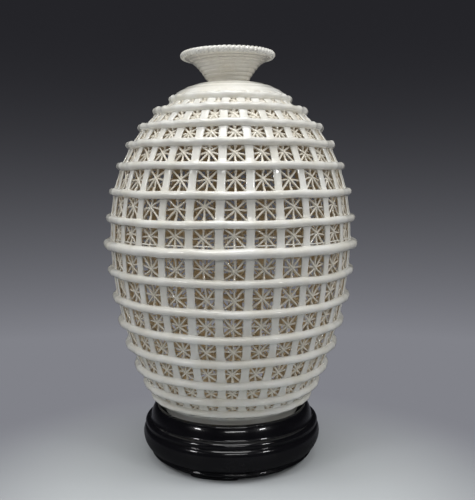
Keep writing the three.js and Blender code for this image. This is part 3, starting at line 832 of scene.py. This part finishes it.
# %% Foot and floor
FOOT_RADIUS, FOOT_UNDERSIDE, FLOOR_TOP = 54.0, 37.3, 44.0
foot_profile = softened(
    [
        (0.5, 40.2), (50, 40.2), (50.2, FOOT_UNDERSIDE), (FOOT_RADIUS, FOOT_UNDERSIDE), (54.9, 40.5),
        (56.1, 43.4), (57.9, 45.9), (57.2, 47.2), (54.2, 47.4), (51, 45.9), (44, FLOOR_TOP), (0.5, FLOOR_TOP),
    ],
    1.0,
)
# Painted shade: the floor inside the vase turns buff-tan.
foot_inward = np.where((foot_profile[:, 1] > 43.5) & (foot_profile[:, 0] < 56), 0.9, 0.0)
foot_part = turned(foot_profile, False, foot_inward, 240, 0.12)
make_piece("foot_and_floor", [foot_part], ["vase_foot"], *GLAZE)
print("foot profile of", len(foot_profile), "points")

# %% [markdown]
# ## Black lacquered wood
# The stand reads as turned wood under black lacquer: a deep, almost neutral black that mirrors lamps as
# sharp, bright streaks, with a gloss that is a little uneven. Turned wood has rings under its lacquer. The
# photograph is too small to show any, so they are barely raised, 1.5 mm apart. The seat under the vase is
# left unpolished, and the same inward value as the porcelain's marks it.

# %% Lacquer material
RING_WAVES = 4200.0


def lacquer():
    """Black Principled shader with a sharp coat, a noise in its roughness and rings by radius in its bump."""
    material, tree, shader = new_material("lacquered_turned_hardwood")
    place = add(tree, "TexCoord").outputs["Object"]
    cloud = add(tree, "TexNoise", Vector=place, Scale=45.0, Detail=4.0).outputs["Fac"]
    tone = blend(tree, cloud, linear("#08080A"), linear("#131216"))
    tree.links.new(tone, shader.inputs["Base Color"])
    gloss = add(tree, "MapRange", Value=cloud, From_Min=0.3, From_Max=0.7, To_Min=0.16, To_Max=0.3)
    unpolished = add(tree, "Attribute", {"attribute_name": "inward"}).outputs["Fac"]
    dull = maths(tree, "MULTIPLY_ADD", unpolished, 0.4, gloss.outputs["Result"])
    tree.links.new(dull, shader.inputs["Roughness"])
    coat = add(tree, "MapRange", Value=unpolished, To_Min=1.0, To_Max=0.0).outputs["Result"]
    tree.links.new(coat, shader.inputs["Coat Weight"])
    flat = add(tree, "VectorMath", {"operation": "MULTIPLY"}, _0=place, _1=(1.0, 1.0, 0.0))
    radius = add(tree, "VectorMath", {"operation": "LENGTH"}, _0=flat.outputs["Vector"]).outputs["Value"]
    height = add(tree, "SeparateXYZ", Vector=place).outputs["Z"]
    along = maths(tree, "ADD", radius, height)
    rings = maths(tree, "SINE", maths(tree, "MULTIPLY", along, RING_WAVES))
    uneven = maths(tree, "MULTIPLY_ADD", rings, 0.08, cloud)
    bump = add(tree, "Bump", Strength=0.25, Distance=0.0003, Height=uneven)
    tree.links.new(bump.outputs["Normal"], shader.inputs["Normal"])
    shader.inputs["Specular IOR Level"].default_value = 0.2
    shader.inputs["Coat Roughness"].default_value = 0.06
    return material


black = lacquer()
LACQUER = ("stand", "black_lacquered_wood", black)
print("made", black.name)

# %% [markdown]
# ## Stand
# The stand was turned from one block: a round lip about the seat, which falls steeply to a groove, a
# narrow ridge, a fat bead, a second groove and a flange. The profile is drawn as corners and softened.

# %% Stand profile
SEAT_HEIGHT, STAND_UNDERSIDE = 37.0, 2.9
lip_side = bezier([(57.2, 38.4), (58.6, 44.9), (63.4, 43.6), (65.7, 33.2)], 18)
ridge_side = bezier([(66.3, 31.9), (70.6, 31.8), (71.0, 27.6), (69.3, 26.5)], 12)
bead_side = bezier([(69.6, 25.9), (72.9, 24.0), (73.2, 13.2), (65.9, 7.6)], 24)
stand_corners = [
    (0.5, SEAT_HEIGHT), (56.2, SEAT_HEIGHT), *lip_side, *ridge_side, *bead_side, (64.9, 6.6), (65.0, 6.1),
    (65.5, 5.6), (65.5, 4.6), (63.2, STAND_UNDERSIDE), (0.5, STAND_UNDERSIDE),
]
stand_profile = softened(stand_corners, 0.5, 4)
unpolished_seat = np.where((stand_profile[:, 0] < 56.6) & (stand_profile[:, 1] > 36.5), 1.0, 0.0)
stand_part = turned(stand_profile, False, unpolished_seat, 288)
make_piece("stand_block", [stand_part], ["stand"], *LACQUER)
print("stand profile of", len(stand_profile), "points")

# %% [markdown]
# ## Feet of the stand
# Three low pads are glued under the flange. Each is a piece of a ring with softened edges: a rounded
# box section swept along an arc, pulled in at its two ends.

# %% Stand feet
PAD_HEIGHT, PAD_RADIUS, PAD_HALF_BREADTH, PAD_HALF_SPAN = 2.75, 54.5, 7.5, np.radians(17.5)
FIRST_PAD_BEARING = -102.5
for number in range(3):
    middle = np.radians(FIRST_PAD_BEARING + 120 * number)
    across = np.linspace(-1, 1, 25)
    x, y = rounded(20, 7.0)
    pulled = (1 - np.abs(across) ** 14 * 0.12)[:, None]
    radius = PAD_RADIUS + PAD_HALF_BREADTH * x * pulled
    z = PAD_HEIGHT / 2 * (1 + y * pulled)
    angle = (middle + PAD_HALF_SPAN * across)[:, None]
    pad = np.stack([radius * np.cos(angle), radius * np.sin(angle), z], -1)
    make_piece(f"stand_pad_{number + 1}", [gather(pad[None], False)], [f"stand_foot_{number + 1}"], *LACQUER)
print("three pads")

# %% [markdown]
# ## Camera
# The ellipses of the hoops give the camera: it stands 0.56 m in front of the axis, a little above the
# middle of the vase, and looks down by 6 degrees. The picture is 475 x 500, and the focal length is 704
# of its pixels, so on a 36 mm sensor across the long side it is 704 / 500 x 36 mm.

# %% Camera at the photograph's angle
CAMERA_PLACE, CAMERA_DIP, CAMERA_ROLL = (0.0053, -0.5644, 0.2265), 6.08, -0.16
FOCAL_PIXELS, LONG_SIDE, SENSOR = 704, 500, 36
camera_data = bpy.data.cameras.new("camera")
camera_data.sensor_width = SENSOR
camera_data.lens = FOCAL_PIXELS / LONG_SIDE * SENSOR
camera = put("camera", camera_data)
bpy.context.scene.camera = camera
dip = Matrix.Rotation(np.radians(90 - CAMERA_DIP), 4, "X")
looking = dip @ Matrix.Rotation(np.radians(CAMERA_ROLL), 4, "Z")
camera.matrix_world = Matrix.Translation(Vector(CAMERA_PLACE)) @ looking
print("lens", round(camera_data.lens, 2), "mm")

# %% [markdown]
# ## Floor and light
# The floor is plain and pale. A little behind the vase it turns into a grey backdrop, lighter below and
# dark above, so that the white lattice stands out and no horizon cuts the picture. Mirror-like rays see it
# darker, so that the lacquer stays black. Six soft lamps light the vase. A broad one hangs over it and a
# little in front, two stand at its sides and leave no mirror image, and three stand in front, fairly low:
# their streaks on the lacquer show where.

# %% Backdrop and floor
# The backdrop's gradient is painted light: light low down and dark high up, as lamps falling off on a real
# backdrop would leave it.
BACKDROP_LOW, BACKDROP_HIGH = "#818289", "#242428"


def backdrop(tree):
    """Colour by the slope s of the sight line: high, and (1 - t)^2.6 of low, with t = 0 at s = -0.22 and 1 at
    0.24."""
    sight = add(tree, "SeparateXYZ", Vector=add(tree, "NewGeometry").outputs["Incoming"]).outputs["Z"]
    share = add(tree, "MapRange", Value=sight, From_Min=-0.24, From_Max=0.22).outputs["Result"]
    return blend(tree, maths(tree, "POWER", share, 2.6), linear(BACKDROP_HIGH), linear(BACKDROP_LOW))


def floor_material():
    """Pale and dull about a place 0.1 m in front of the vase, and the backdrop's colour from 0.27 m off it."""
    material = bpy.data.materials.new("pale_floor")
    tree = fresh_tree(material)
    place = add(tree, "VectorMath", _0=add(tree, "TexCoord").outputs["Object"], _1=(0.0, 0.1, 0.0))
    away = add(tree, "VectorMath", {"operation": "LENGTH"}, _0=place.outputs["Vector"]).outputs["Value"]
    far = add(tree, "MapRange", {"interpolation_type": "SMOOTHSTEP"}, Value=away, From_Min=0.1, From_Max=0.27)
    mirrored = add(tree, "LightPath").outputs["Is Glossy Ray"]
    tone = blend(tree, mirrored, linear("#C0C4C6"), linear("#3C3D3F"))
    near = add(tree, "BsdfPrincipled", Base_Color=tone, Roughness=0.6)
    dimmed = add(tree, "MapRange", Value=mirrored, To_Min=1.0, To_Max=0.4).outputs["Result"]
    # Painted light: from 0.27 m off the vase the floor glows with the backdrop's gradient instead of being lit.
    plain = add(tree, "Emission", Color=backdrop(tree), Strength=dimmed)
    mixed = add(tree, "MixShader", _0=far.outputs["Result"], _1=near.outputs[0], _2=plain.outputs[0])
    add(tree, "OutputMaterial", Surface=mixed.outputs[0])
    return material


FLOOR_SIDES = 96
angle = np.arange(FLOOR_SIDES) / FLOOR_SIDES * TURN
rings = np.concatenate([[0.02], np.geomspace(0.1, 40, 24)])[:, None]
floor_grid = np.stack([rings * np.cos(angle), rings * np.sin(angle), 0 * rings * angle], -1)
index = np.arange(len(rings) * FLOOR_SIDES).reshape(-1, FLOOR_SIDES)
beside = np.roll(index, -1, 1)
quads = np.stack([index[:-1], index[1:], beside[1:], beside[:-1]], -1).reshape(-1, 4)
floor_mesh = bpy.data.meshes.new("floor")
floor_mesh.from_pydata(floor_grid.reshape(-1, 3).tolist(), [], [*quads.tolist(), index[0].tolist()])
floor_mesh.materials.append(floor_material())
floor = put("floor", floor_mesh)
print("floor of", len(rings), "rings")

# %% [markdown]
# ## Lamps and world
# A lamp is placed as the vase sees it: so far to the right of the front, so high and so far away. The world
# shows the backdrop to the camera and to mirrors, and lights all else faintly.

# %% Lamps and world
LAMPS_AIM = Vector((0, 0, 0.16))


def lamp(name, bearing, rise, away, size, power, mirrored=True):
    """Soft rectangular lamp, seen from the vase at a bearing right of the front and a rise, in degrees."""
    data = bpy.data.lights.new(name, "AREA")
    data.shape = "RECTANGLE"
    data.size, data.size_y, data.energy = *size, power
    made = put(name, data)
    b, r = np.radians(bearing), np.radians(rise)
    towards = Vector((float(np.sin(b) * np.cos(r)), float(-np.cos(b) * np.cos(r)), float(np.sin(r))))
    made.location = LAMPS_AIM + away * towards
    made.rotation_euler = (-towards).to_track_quat("-Z", "Y").to_euler()
    made.visible_glossy = mirrored


lamp("lamp_over", 0, 72, 1.1, (0.7, 0.6), 6.8)
lamp("lamp_front", 6, 24, 1.3, (0.6, 0.07), 1.25)
lamp("lamp_left", -50, 24, 1.3, (0.18, 0.09), 1.7)
lamp("lamp_right", 46, 24, 1.3, (0.18, 0.09), 1.7)
lamp("lamp_far_left", -80, 40, 1.1, (0.5, 0.5), 4.0, False)
lamp("lamp_far_right", 80, 40, 1.1, (0.5, 0.5), 4.0, False)
world = bpy.data.worlds.new("studio")
bpy.context.scene.world = world
tree = fresh_tree(world)
seen = add(tree, "LightPath")
dimmed = add(tree, "MapRange", Value=seen.outputs["Is Glossy Ray"], To_Min=1.0, To_Max=0.4)
plain = add(tree, "Background", Color=backdrop(tree), Strength=dimmed.outputs["Result"])
soft = add(tree, "Background", Color=linear("#E8EAEE"), Strength=0.15)
shown = maths(tree, "MAXIMUM", seen.outputs["Is Camera Ray"], seen.outputs["Is Glossy Ray"])
mixed = add(tree, "MixShader", _0=shown, _1=soft.outputs[0], _2=plain.outputs[0])
add(tree, "OutputWorld", Surface=mixed.outputs[0])
bpy.context.scene.view_settings.view_transform = "Standard"
